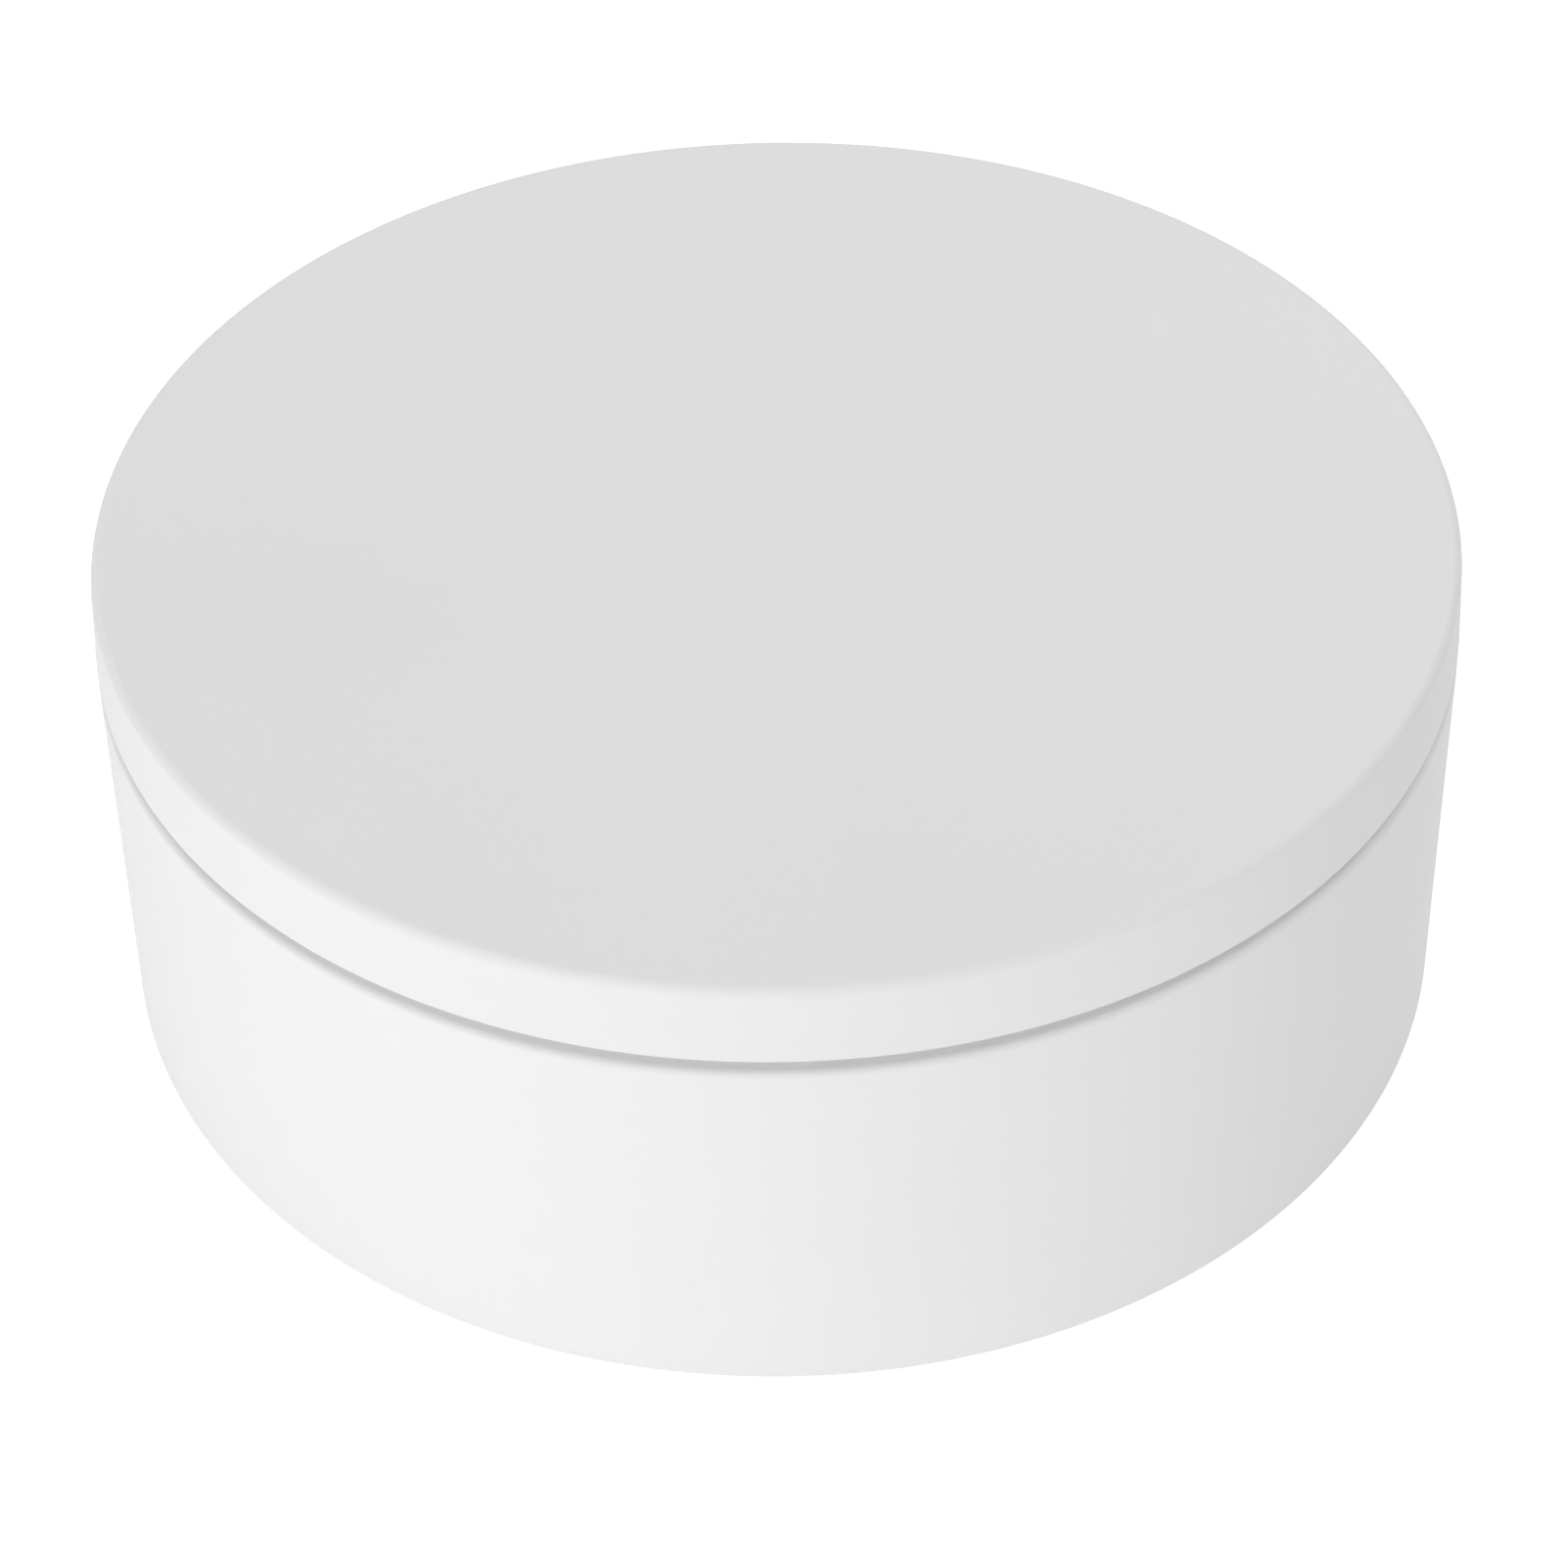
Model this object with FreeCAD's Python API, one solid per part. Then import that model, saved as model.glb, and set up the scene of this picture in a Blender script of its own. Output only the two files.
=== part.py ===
"""Round wet palette: a lidded drum with a water tray, sponge and palette paper, and spares below the tray.

Millimetres, +Z up. The origin is on the surface that the palette stands on, below the drum's middle.
"""
import FreeCAD
import Part
import math
import os

from FreeCAD import Vector

# Drum and tub
drum_radius = 65.0
tub_height = 39.4
tub_draft = 0.6
tub_wall = 3.0
tub_floor = 2.6
tub_rim_round = 0.7
tub_mouth_round = 0.5
tub_base_round = 0.6
tub_corner_round = 2.5

# Ribs inside the tub that carry the tray
rib_count = 8
rib_width = 2.0
rib_depth = 2.8

# Underside and feet
foot_proud = 0.7
base_ring = 5.4
base_recess = 0.4
foot_count = 4
foot_radius = 6.0
foot_margin = 3.0
foot_pocket = 0.8
foot_side_gap = 0.1
foot_round = 0.3

# Palette paper, in use and spare
sheet_thickness = 0.2
sheet_air = 0.05
sheet_margin = 0.9
spare_sheet_count = 8

# Sponges
sponge_thickness = 6.0
sponge_side_gap = 0.6
sponge_round = 0.8
spare_sponge_thickness = 6.0

# Water tray
tray_floor = 1.6
tray_wall = 1.6
tray_lip = 2.0
tray_flange = 1.6
tray_rib_gap = 0.6
tray_rim_gap = 0.5
tray_base_round = 1.8
tray_corner_round = 1.2
tray_edge_round = 0.5
ridge_count = 12
ridge_width = 1.6
ridge_height = 0.8
ridge_start = 12.0
ridge_end_gap = 5.0
notch_count = 2
notch_width = 24.0
notch_land = 0.4

# Lid cover
lid_height = 8.1
lid_draft = 0.3
lid_plate = 2.4
lid_skirt = 2.4
lid_ledge = 1.0
lid_top_round = 0.9
lid_edge_round = 0.2
lid_inner_round = 0.6
snap_ring_wall = 1.6
snap_bead_height = 1.1
snap_bite = 0.4
snap_gap = 0.2

# Lid plug
plug_headroom = 4.0
plug_side_gap = 2.0
plug_wall = 1.8
plug_floor = 1.8
plug_flange = 2.0
plug_flange_gap = 0.3
plug_lip = 1.6
plug_collar = 1.2
plug_base_round = 0.6
plug_edge_round = 0.2

# Gasket
shadow_gap = 1.3
seal_rest = 1.3
groove_depth = 0.8
groove_gap = 0.05
gasket_band_gap = 1.1
gasket_lip_count = 2
gasket_lip_pitch = 2.0
gasket_lip_root = 1.0
gasket_lip_tip = 0.4
gasket_lip_gap = 0.3

# Levels, from the standing surface up to the bay, and from the rim down to the tray and up to the lid
under_z = foot_proud
recess_z = under_z + base_recess
pocket_z = recess_z + foot_pocket
bay_z = under_z + tub_floor
spare_sponge_z = bay_z + spare_sheet_count * (sheet_thickness + sheet_air)
rim_z = under_z + tub_height
band_z = rim_z - gasket_lip_count * gasket_lip_pitch
collar_z = band_z - groove_gap
plug_z = collar_z - plug_collar
plug_floor_z = plug_z + plug_floor
tray_top_z = plug_z - plug_headroom
rib_top_z = tray_top_z - tray_flange
paper_z = tray_top_z - tray_lip - sheet_thickness
sponge_z = paper_z - sponge_thickness
tray_floor_z = sponge_z - ridge_height
tray_z = tray_floor_z - tray_floor
lid_z = rim_z + shadow_gap
ledge_z = lid_z + plug_flange
plug_lip_z = ledge_z - plug_lip
lid_top_z = lid_z + lid_height
lid_under_z = lid_top_z - lid_plate
bead_top_z = plug_lip_z - snap_gap
bead_z = bead_top_z - snap_bead_height

# Radii, from the outside in
tub_inner = drum_radius - tub_wall
rib_inner = tub_inner - rib_depth
base_radius = drum_radius - tub_draft
base_recess_radius = base_radius - base_ring
foot_circle = base_recess_radius - foot_margin - foot_radius
flange_outer = tub_inner - tray_rim_gap
pan_outer = rib_inner - tray_rib_gap
pan_inner = pan_outer - tray_wall
sponge_radius = pan_inner - sponge_side_gap
sheet_radius = sponge_radius - sheet_margin
ridge_end = pan_inner - ridge_end_gap
lid_top_radius = drum_radius - lid_draft
skirt_inner = drum_radius - lid_skirt
ledge_inner = skirt_inner - lid_ledge
plug_flange_radius = skirt_inner - plug_flange_gap
plug_radius = tub_inner - plug_side_gap
plug_inner = plug_radius - plug_wall
groove_radius = plug_radius - groove_depth
bead_radius = plug_inner - snap_gap
plug_lip_radius = bead_radius - snap_bite
snap_ring_radius = plug_lip_radius - snap_gap
snap_ring_inner = snap_ring_radius - snap_ring_wall
gasket_inner = groove_radius + groove_gap
gasket_band_radius = tub_inner - gasket_band_gap
gasket_lip_radius = tub_inner - gasket_lip_gap
gasket_flange_radius = tub_inner + seal_rest

# A rounding takes at most this share of either edge that it joins
round_share = 0.45


def corner_arc(before, here, after, rounding):
    """Start, middle and end of the arc that rounds one corner of an outline."""
    back = before - here
    ahead = after - here
    half_angle = back.getAngle(ahead) / 2
    reach = min(rounding / math.tan(half_angle), round_share * back.Length, round_share * ahead.Length)
    radius = reach * math.tan(half_angle)
    back.normalize()
    ahead.normalize()
    inward = (back + ahead).normalize()
    middle = here + inward * (radius / math.sin(half_angle) - radius)
    return here + back * reach, middle, here + ahead * reach


def rounded_outline(corners):
    """Closed wire in the XZ plane through (radius, height, rounding) corners."""
    points = [Vector(radius, 0, height) for radius, height, _ in corners]
    arcs = []
    for index, (_, _, rounding) in enumerate(corners):
        after = points[(index + 1) % len(points)]
        arcs.append(corner_arc(points[index - 1], points[index], after, rounding))
    edges = []
    for index, (start, middle, end) in enumerate(arcs):
        if corners[index][2] > 0:
            edges.append(Part.Arc(start, middle, end).toShape())
        next_start = arcs[(index + 1) % len(arcs)][0]
        edges.append(Part.LineSegment(end, next_start).toShape())
    return Part.Wire(edges)


def turned(corners):
    """Solid made by turning an outline of (radius, height, rounding) corners about the Z axis."""
    return Part.Face(rounded_outline(corners)).revolve(Vector(0, 0, 0), Vector(0, 0, 1), 360)


def disc(radius, bottom, thickness, rounding=0.0):
    """Flat round solid with both edges rounded."""
    top = bottom + thickness
    return turned([(0, bottom, 0), (radius, bottom, rounding), (radius, top, rounding), (0, top, 0)])


def around(shape, count, first_angle):
    """Copies of a shape at equal angles about the Z axis."""
    copies = []
    for index in range(count):
        copy = shape.copy()
        copy.rotate(Vector(0, 0, 0), Vector(0, 0, 1), first_angle + index * 360.0 / count)
        copies.append(copy)
    return copies


def radial_bar(start, end, width, bottom, top):
    """Straight bar along +X with a round nose at its inner end."""
    nose = width / 2
    bar = Part.makeBox(end - start - nose, width, top - bottom, Vector(start + nose, -nose, bottom))
    tip = Part.makeCylinder(nose, top - bottom, Vector(start + nose, 0, bottom))
    return bar.fuse(tip).removeSplitter()


def foot_place():
    """Middle of the first foot on the underside."""
    return Vector(foot_circle, 0, 0)


def first_foot_angle():
    """Angle of the first foot, half a step from the front."""
    return 180.0 / foot_count


def make_tub():
    """Outer tub with its tray ribs, recessed underside and foot pockets."""
    shell = turned([
        (0, recess_z, 0),
        (base_recess_radius, recess_z, 0),
        (base_recess_radius, under_z, 0),
        (base_radius, under_z, tub_base_round),
        (drum_radius, rim_z, tub_rim_round),
        (tub_inner, rim_z, tub_mouth_round),
        (tub_inner, bay_z, tub_corner_round),
        (0, bay_z, 0),
    ])
    wall_middle = tub_inner + tub_wall / 2
    floor_middle = (pocket_z + bay_z) / 2
    rib = radial_bar(rib_inner, wall_middle, rib_width, floor_middle, rib_top_z)
    pocket = Part.makeCylinder(foot_radius + foot_side_gap, pocket_z, foot_place())
    shell = shell.fuse(around(rib, rib_count, 180.0 / rib_count)).removeSplitter()
    return shell.cut(around(pocket, foot_count, first_foot_angle()))


def make_feet():
    """Silicone pads that fill the foot pockets and stand proud of the underside."""
    pad = turned([
        (0, 0, 0),
        (foot_radius, 0, foot_round),
        (foot_radius, pocket_z, 0),
        (0, pocket_z, 0),
    ])
    pad.translate(foot_place())
    return around(pad, foot_count, first_foot_angle())


def make_tray():
    """Water tray with a flange that hangs on the ribs, drainage ridges and two lift notches."""
    pan = turned([
        (0, tray_z, 0),
        (pan_outer, tray_z, tray_base_round),
        (pan_outer, rib_top_z, 0),
        (flange_outer, rib_top_z, 0),
        (flange_outer, tray_top_z, tray_edge_round),
        (pan_inner, tray_top_z, tray_edge_round),
        (pan_inner, tray_floor_z, tray_corner_round),
        (0, tray_floor_z, 0),
    ])
    floor_middle = (tray_z + tray_floor_z) / 2
    ridge = radial_bar(ridge_start, ridge_end, ridge_width, floor_middle, sponge_z)
    notch_start = pan_outer + notch_land
    notch = Part.makeBox(
        drum_radius - notch_start, notch_width, rim_z, Vector(notch_start, -notch_width / 2, 0)
    )
    pan = pan.fuse(around(ridge, ridge_count, 0)).removeSplitter()
    return pan.cut(around(notch, notch_count, 0))


def make_spare_sheets():
    """Stack of loose paper sheets on the tub's floor."""
    pitch = sheet_thickness + sheet_air
    levels = [bay_z + index * pitch for index in range(spare_sheet_count)]
    return Part.makeCompound([disc(sheet_radius, level, sheet_thickness) for level in levels])


def make_cover():
    """Outer lid: plate, skirt with a ledge for the plug, and the snap ring that holds the plug."""
    return turned([
        (0, lid_top_z, 0),
        (lid_top_radius, lid_top_z, lid_top_round),
        (drum_radius, lid_z, lid_edge_round),
        (skirt_inner, lid_z, 0),
        (skirt_inner, ledge_z, 0),
        (ledge_inner, ledge_z, 0),
        (ledge_inner, lid_under_z, lid_inner_round),
        (snap_ring_radius, lid_under_z, lid_inner_round),
        (snap_ring_radius, bead_top_z, 0),
        (bead_radius, bead_top_z, 0),
        (bead_radius, bead_z, snap_bite),
        (snap_ring_inner, bead_z, snap_bite),
        (snap_ring_inner, lid_under_z, lid_inner_round),
        (0, lid_under_z, 0),
    ])


def make_plug():
    """Inner cup of the lid, with a flange in the skirt, a lip over the snap bead and a gasket groove."""
    return turned([
        (0, plug_z, 0),
        (plug_radius, plug_z, plug_base_round),
        (plug_radius, collar_z, plug_edge_round),
        (groove_radius, collar_z, 0),
        (groove_radius, lid_z, 0),
        (plug_flange_radius, lid_z, plug_edge_round),
        (plug_flange_radius, ledge_z, 0),
        (plug_lip_radius, ledge_z, plug_edge_round),
        (plug_lip_radius, plug_lip_z, plug_edge_round),
        (plug_inner, plug_lip_z, 0),
        (plug_inner, plug_floor_z, plug_base_round),
        (0, plug_floor_z, 0),
    ])


def make_gasket():
    """Seal on the plug: a flange between rim and lid, and a band with lips that wipe the tub's bore."""
    outline = [(gasket_inner, lid_z, 0), (gasket_inner, band_z, 0), (gasket_band_radius, band_z, 0)]
    for index in range(gasket_lip_count):
        lip_z = band_z + gasket_lip_pitch * (index + 0.5)
        outline += [
            (gasket_band_radius, lip_z - gasket_lip_root / 2, 0),
            (gasket_lip_radius, lip_z - gasket_lip_tip / 2, 0),
            (gasket_lip_radius, lip_z + gasket_lip_tip / 2, 0),
            (gasket_band_radius, lip_z + gasket_lip_root / 2, 0),
        ]
    outline += [
        (gasket_band_radius, rim_z, 0),
        (gasket_flange_radius, rim_z, 0),
        (gasket_flange_radius, lid_z, 0),
    ]
    return turned(outline)


def build():
    """Every piece by its node name."""
    pieces = {
        "tub": make_tub(),
        "spare_membranes": make_spare_sheets(),
        "spare_sponge": disc(sponge_radius, spare_sponge_z, spare_sponge_thickness, sponge_round),
        "wet_tray": make_tray(),
        "sponge": disc(sponge_radius, sponge_z, sponge_thickness, sponge_round),
        "palette_membrane": disc(sheet_radius, paper_z, sheet_thickness),
        "lid_cover": make_cover(),
        "lid_plug": make_plug(),
        "lid_gasket": make_gasket(),
    }
    for number, pad in enumerate(make_feet(), start=1):
        pieces[f"foot_pad_{number}"] = pad
    return pieces


def main():
    """Write one STEP file for each piece."""
    os.makedirs("parts", exist_ok=True)
    for name, shape in build().items():
        shape.exportStep(f"parts/{name}.step")
        print(f"{name}: {len(shape.Solids)} solid(s), {shape.Volume:.0f} mm3, valid {shape.isValid()}")


main()
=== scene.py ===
"""Looks of the round wet palette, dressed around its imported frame.

Closed, the palette shows only the white lid and tub. With the lid lifted it shows the palette paper on its
sponge in the water tray, and under the tray lie a spare sponge and spare sheets of paper.
"""

import logging
import math
from dataclasses import dataclass
from enum import Enum
from functools import cache

import bmesh
import bpy
from bpy.types import ID, Material, Modifier, Node, NodeOutputs, NodeSocket, NodeTree, Object
from mathutils import Matrix, Vector


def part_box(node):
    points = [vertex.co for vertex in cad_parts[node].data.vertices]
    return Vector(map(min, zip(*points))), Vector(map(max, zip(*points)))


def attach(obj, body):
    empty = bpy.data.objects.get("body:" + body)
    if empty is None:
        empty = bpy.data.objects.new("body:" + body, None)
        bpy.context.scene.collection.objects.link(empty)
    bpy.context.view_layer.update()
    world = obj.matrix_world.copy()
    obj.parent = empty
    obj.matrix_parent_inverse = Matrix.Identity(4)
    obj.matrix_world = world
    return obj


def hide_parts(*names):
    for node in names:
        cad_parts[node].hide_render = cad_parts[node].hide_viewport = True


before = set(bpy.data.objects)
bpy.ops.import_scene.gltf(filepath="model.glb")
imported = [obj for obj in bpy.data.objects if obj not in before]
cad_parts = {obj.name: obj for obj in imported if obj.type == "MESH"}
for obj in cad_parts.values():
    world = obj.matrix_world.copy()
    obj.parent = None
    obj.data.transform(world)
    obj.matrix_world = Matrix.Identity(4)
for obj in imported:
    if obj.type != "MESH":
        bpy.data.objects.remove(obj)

LOG = logging.getLogger("wet_palette")
MM = 0.001
PHOTO_PX = 1601
PORE_ATTRIBUTE = "pore"

# Turned outlines: step along a rounding, most that a rounding takes of an edge, support point beside a rounding,
# faces around the axis, distance at which points are one, and the angle from which an edge stays sharp
ROUND_STEP_DEG = 9.0
ROUND_SHARE = 0.45
SUPPORT_MM = 0.1
SUPPORT_SHARE = 0.04
SEGMENTS = 256
MERGE_MM = 0.001
SHARP_DEG = 35.0

# Softened edges of ribs and ridges: faces across the bevel, and its round profile
BEVEL_STEPS = 3
BEVEL_PROFILE = 0.5

# Sponge pores: middle of the noise's colours, waves of a ragged edge in one large spacing, share of cells with the
# narrowest pore, and the narrowest and widest pore as shares of the spacing
NOISE_MIDDLE = (0.5, 0.5, 0.5)
RAGGED_WAVES = 2.0
NARROW_SHARE = 0.15
PORE_WIDTHS = (0.1, 0.66)


class Body(Enum):
    """Bodies of the frame that the pieces ride on."""

    DRUM = "drum"
    SPARE_SHEETS = "spare_sheets"
    SPARE_PAD = "spare_pad"
    TRAY = "tray"
    WET_PAD = "wet_pad"
    PAPER = "paper"
    LID = "lid"


class Slot(Enum):
    """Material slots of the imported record, for the pieces that replace solids."""

    SHELL = "shell_plastic"
    TRAY = "tray_plastic"
    SEAL = "seal_silicone"
    SPONGE = "cellulose_sponge"
    PAPER = "palette_paper"


def linear(hex_colour: str) -> tuple[float, float, float, float]:
    """Turn an sRGB hex colour into linear RGBA.

    Args:
        hex_colour: six hex digits, such as "F2F2F2".

    Returns:
        Linear red, green and blue, with full alpha.
    """
    channels = []
    for start in (0, 2, 4):
        value = int(hex_colour[start:start + 2], 16) / 255
        channels.append(value / 12.92 if value <= 0.04045 else ((value + 0.055) / 1.055) ** 2.4)
    return (channels[0], channels[1], channels[2], 1.0)


def per_metre(size_mm: float) -> float:
    """Texture scale whose pattern repeats about once every size_mm."""
    return 1 / (size_mm * MM)


def add_node(tree: NodeTree, kind: str, settings: dict | None = None,
             links: dict | None = None) -> Node:
    """Add one node with its settings and links.

    Args:
        tree: the shader or geometry tree that gets the node.
        kind: Blender's identifier of the node type.
        settings: node properties and fixed input values, by name.
        links: output sockets to join to this node's inputs, by input name or number.

    Returns:
        The new node.
    """
    node = tree.nodes.new(kind)
    for name, value in (settings or {}).items():
        if isinstance(name, str) and hasattr(node, name):
            setattr(node, name, value)
        else:
            node.inputs[name].default_value = value
    for name, socket in (links or {}).items():
        tree.links.new(socket, node.inputs[name])
    return node


def calc(tree: NodeTree, operation: str, *terms: float | NodeSocket) -> NodeSocket:
    """Work out one sum in a tree.

    Args:
        tree: the shader or geometry tree.
        operation: Blender's name of the operation.
        terms: its terms in order, each a number or an output socket.

    Returns:
        The socket that gives the result.
    """
    numbers = {index: term for index, term in enumerate(terms) if not isinstance(term, NodeSocket)}
    sockets = {index: term for index, term in enumerate(terms) if isinstance(term, NodeSocket)}
    return add_node(tree, "ShaderNodeMath", {"operation": operation, **numbers}, sockets).outputs[0]


def noise(tree: NodeTree, place: NodeSocket, size_mm: float,
          detail: float) -> NodeSocket:
    """Add soft noise to a material.

    Args:
        tree: the material's tree.
        place: the coordinates that it follows.
        size_mm: size of its patches.
        detail: how many finer layers lie over them.

    Returns:
        The noise, from nought to one.
    """
    return add_node(tree, "ShaderNodeTexNoise", {"Scale": per_metre(size_mm), "Detail": detail},
                    {"Vector": place}).outputs["Fac"]


def blend(tree: NodeTree, share: NodeSocket, first: str, second: str) -> NodeSocket:
    """Blend two hex colours.

    Args:
        tree: the material's tree.
        share: how much of the second colour shows.
        first: the colour where the share is nought.
        second: the colour where the share is one.

    Returns:
        The blended colour.
    """
    return add_node(tree, "ShaderNodeMix", {"data_type": "RGBA", 6: linear(first), 7: linear(second)},
                    {0: share}).outputs[2]


def relief(tree: NodeTree, height: NodeSocket, depth_mm: float) -> NodeSocket:
    """Turn a pattern into fine relief.

    Args:
        tree: the material's tree.
        height: the pattern, from nought to one.
        depth_mm: how deep the relief is.

    Returns:
        The normal of the relief.
    """
    return add_node(tree, "ShaderNodeBump", {"Strength": 1.0, "Distance": depth_mm * MM},
                    {"Height": height}).outputs["Normal"]


def new_material(name: str) -> tuple[Material, NodeTree]:
    """Make an empty node material.

    Args:
        name: the material's name.

    Returns:
        The material and its empty tree.
    """
    material = bpy.data.materials.new(name)
    material.use_nodes = True
    material.node_tree.nodes.clear()
    return material, material.node_tree


def object_place(tree: NodeTree) -> NodeSocket:
    """Coordinates of the object itself, in metres."""
    return add_node(tree, "ShaderNodeTexCoord").outputs["Object"]


def close_material(tree: NodeTree, settings: dict, links: dict) -> None:
    """Finish a material with a Principled shader.

    Args:
        tree: the material's tree.
        settings: fixed values of the shader's sockets.
        links: sockets that drive the shader's inputs.
    """
    shader = add_node(tree, "ShaderNodeBsdfPrincipled", settings, links)
    add_node(tree, "ShaderNodeOutputMaterial", links={"Surface": shader.outputs["BSDF"]})


@dataclass(frozen=True)
class MouldedPlastic:
    """Polypropylene moulded against a spark-eroded steel, which leaves a fine dull grain."""

    name: str
    colour: str
    thick_colour: str
    roughness: float
    grain_mm: float
    grain_depth_mm: float
    sheen: float = 0.5
    ior: float = 1.49
    flow_mm: float = 45.0
    roughness_spread: float = 0.06

    @cache
    def material(self) -> Material:
        """Build the plastic: cloudy colour from the melt's flow, and grain in gloss and relief.

        Returns:
            The plastic.
        """
        material, tree = new_material(self.name)
        place = object_place(tree)
        tint = blend(tree, noise(tree, place, self.flow_mm, detail=2.0), self.colour, self.thick_colour)
        grain = noise(tree, place, self.grain_mm, detail=3.0)
        gloss = add_node(tree, "ShaderNodeMapRange",
                         {"To Min": self.roughness - self.roughness_spread,
                          "To Max": self.roughness + self.roughness_spread}, {"Value": grain})
        close_material(tree, {"IOR": self.ior, "Specular IOR Level": self.sheen},
                       {"Base Color": tint, "Roughness": gloss.outputs["Result"],
                        "Normal": relief(tree, grain, self.grain_depth_mm)})
        return material


@dataclass(frozen=True)
class SiliconeRubber:
    """Compression-moulded silicone: soft, dull, a little milky, with a fine bloom of dust."""

    name: str
    colour: str
    dust_colour: str
    bloom_mm: float = 3.0
    ior: float = 1.41
    roughness: float = 0.6
    milkiness: float = 0.15
    milk_depth_mm: float = 1.0
    skin_mm: float = 0.5
    skin_depth_mm: float = 0.01

    @cache
    def material(self) -> Material:
        """Build the rubber: dusty bloom over a milky body, with a faintly uneven skin.

        Returns:
            The rubber.
        """
        material, tree = new_material(self.name)
        place = object_place(tree)
        tint = blend(tree, noise(tree, place, self.bloom_mm, detail=4.0), self.colour, self.dust_colour)
        skin = noise(tree, place, self.skin_mm, detail=2.0)
        close_material(tree,
                       {"IOR": self.ior, "Roughness": self.roughness, "Subsurface Weight": self.milkiness,
                        "Subsurface Scale": self.milk_depth_mm * MM},
                       {"Base Color": tint, "Normal": relief(tree, skin, self.skin_depth_mm)})
        return material


@dataclass(frozen=True)
class CelluloseSponge:
    """Regenerated cellulose foam: dull, warm, with open pores painted darker inside as shade and a fine felted
    wall between them.
    """

    name: str
    wall_colour: str
    pale_colour: str
    # Painted shade: the colour laid into the bottoms of the pores
    pore_shade_colour: str
    felt_mm: float = 0.9
    felt_depth_mm: float = 0.25
    patch_mm: float = 9.0
    roughness: float = 0.95
    ior: float = 1.47

    @cache
    def material(self) -> Material:
        """Build the foam: painted shade that darkens the pores with the mesh's own pore depth, small cells as
        relief.

        Returns:
            The foam.
        """
        material, tree = new_material(self.name)
        place = object_place(tree)
        wall = blend(tree, noise(tree, place, self.patch_mm, detail=3.0), self.wall_colour, self.pale_colour)
        # Painted shade: the colour turns towards the pore shade colour with the stored pore depth, darkest deepest
        # in the pores
        depth = add_node(tree, "ShaderNodeAttribute", {"attribute_name": PORE_ATTRIBUTE})
        tint = add_node(tree, "ShaderNodeMix", {"data_type": "RGBA", 7: linear(self.pore_shade_colour)},
                        {0: depth.outputs["Fac"], 6: wall})
        cells = add_node(tree, "ShaderNodeTexVoronoi", {"Scale": per_metre(self.felt_mm)}, {"Vector": place})
        close_material(tree, {"IOR": self.ior, "Roughness": self.roughness},
                       {"Base Color": tint.outputs[2],
                        "Normal": relief(tree, cells.outputs["Distance"], self.felt_depth_mm)})
        return material


@dataclass(frozen=True)
class PalettePaper:
    """Greaseproof paper: beaten fibres pressed thin, cloudy when held to light, with a dull calendered face."""

    name: str
    colour: str
    cloud_colour: str
    cloud_mm: float = 5.0
    fibre_mm: float = 0.8
    fibre_stretch: float = 6.0
    fibre_depth_mm: float = 0.02
    roughness: float = 0.5
    see_through: float = 0.3
    ior: float = 1.47

    @cache
    def material(self) -> Material:
        """Build the paper: cloudy formation in colour and long fibres in relief.

        Returns:
            The paper.
        """
        material, tree = new_material(self.name)
        place = object_place(tree)
        tint = blend(tree, noise(tree, place, self.cloud_mm, detail=5.0), self.colour, self.cloud_colour)
        along = add_node(tree, "ShaderNodeMapping", {"Scale": (1 / self.fibre_stretch, 1.0, 1.0)},
                         {"Vector": place})
        fibre = noise(tree, along.outputs["Vector"], self.fibre_mm, detail=3.0)
        close_material(tree,
                       {"IOR": self.ior, "Roughness": self.roughness, "Transmission Weight": self.see_through},
                       {"Base Color": tint, "Normal": relief(tree, fibre, self.fibre_depth_mm)})
        return material


def box_mm(node: str) -> tuple[Vector, Vector]:
    """Lowest and highest corners of a frame node, in millimetres."""
    low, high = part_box(node)
    return Vector(low) / MM, Vector(high) / MM


def link_object(name: str, data: ID) -> Object:
    """Put data into the scene as an object.

    Args:
        name: the object's name.
        data: its mesh, light or camera.

    Returns:
        The new object.
    """
    thing = bpy.data.objects.new(name, data)
    bpy.context.scene.collection.objects.link(thing)
    return thing


def add_object(name: str, points: list, faces: list) -> Object:
    """Make a mesh object and link it to the scene.

    Args:
        name: the object's name.
        points: places of its points, in metres.
        faces: point numbers of each face.

    Returns:
        The new object.
    """
    mesh = bpy.data.meshes.new(name)
    mesh.from_pydata(points, [], faces)
    return link_object(name, mesh)


@dataclass(frozen=True)
class Corner:
    """Corner of a turned outline, in millimetres."""

    radius: float
    height: float
    rounding: float = 0.0


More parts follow.
